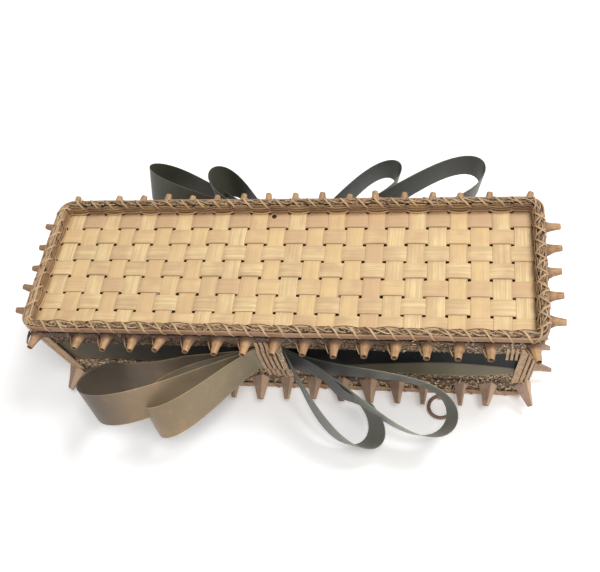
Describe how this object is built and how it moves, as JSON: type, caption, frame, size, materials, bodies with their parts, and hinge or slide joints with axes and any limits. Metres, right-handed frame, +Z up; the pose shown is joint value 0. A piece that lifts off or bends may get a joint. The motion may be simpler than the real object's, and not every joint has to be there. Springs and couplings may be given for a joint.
{
  "type": "splint basket",
  "caption": "Long, narrow ash-splint box basket with a plain-woven lift-off lid, braided grass rows, two rows of curled points, a ribbon tied in bows and a small ring.",
  "frame": {"origin": "centre of the basket's floor, on the plane that it rests on", "axes": "+X along the long side, to the right as seen from the front; +Y to the back; +Z up"},
  "size_m": [0.3358, 0.2024, 0.085],
  "materials": {
    "lid_splints": "dry, matt, fine grain",
    "wall_ash": "dry, matt",
    "brown_ash": "dry, matt",
    "curled_ash": "dry, slightly polished by handling",
    "shaded_ash": "dry, matt",
    "sweetgrass": "dry braided grass, matt",
    "ribbon": "satin"
  },
  "bodies": {
    "basket": {"basket_wall": "wall_ash", "basket_floor": "wall_ash", "upper_grass_rows": "sweetgrass", "lower_grass_rows": "sweetgrass", "base_braid": "sweetgrass", "base_hoop": "brown_ash", "ribbon_band": "ribbon", "upper_point_weaver": "curled_ash", "lower_point_weaver": "shaded_ash", "front_centre_post": "curled_ash", "back_centre_post": "curled_ash", "front_left_corner_post": "curled_ash", "front_right_corner_post": "curled_ash", "back_left_corner_post": "curled_ash", "back_right_corner_post": "curled_ash", "front_bow": "ribbon", "back_bow": "ribbon", "ring_strap": "curled_ash"},
    "lid": {"lid_cross_splint_01": "lid_splints", "lid_cross_splint_02": "lid_splints", "lid_cross_splint_03": "lid_splints", "lid_cross_splint_04": "lid_splints", "lid_cross_splint_05": "lid_splints", "lid_cross_splint_06": "lid_splints", "lid_cross_splint_07": "lid_splints", "lid_cross_splint_08": "lid_splints", "lid_cross_splint_09": "lid_splints", "lid_cross_splint_10": "lid_splints", "lid_cross_splint_11": "lid_splints", "lid_cross_splint_12": "lid_splints", "lid_cross_splint_13": "lid_splints", "lid_cross_splint_14": "lid_splints", "lid_cross_splint_15": "lid_splints", "lid_cross_splint_16": "lid_splints", "lid_cross_splint_17": "lid_splints", "lid_cross_splint_18": "lid_splints", "lid_cross_splint_19": "lid_splints", "lid_cross_splint_20": "lid_splints", "lid_cross_splint_21": "lid_splints", "lid_cross_splint_22": "lid_splints", "lid_cross_splint_23": "lid_splints", "lid_cross_splint_24": "lid_splints", "lid_long_splint_1": "lid_splints", "lid_long_splint_2": "lid_splints", "lid_long_splint_3": "lid_splints", "lid_long_splint_4": "lid_splints", "lid_long_splint_5": "lid_splints", "lid_long_splint_6": "lid_splints", "lid_long_splint_7": "lid_splints", "lid_upturned_ends": "lid_splints", "lid_inner_weaver": "brown_ash", "lid_rim_braid": "sweetgrass", "lid_rim_hoop": "brown_ash"},
    "ring": {"lifting_ring": "brown_ash"}
  },
  "joints": [
    {"name": "lid_lift", "type": "slide", "parent": "basket", "child": "lid", "axis": [0, 0, 1], "range_m": [0, 0.06]},
    {"name": "ring_hinge", "type": "hinge", "parent": "basket", "child": "ring", "pos_m": [0.09784, -0.04709, 0.0026], "axis": [-1, 0, 0], "range_deg": [0, 88]}
  ]
}
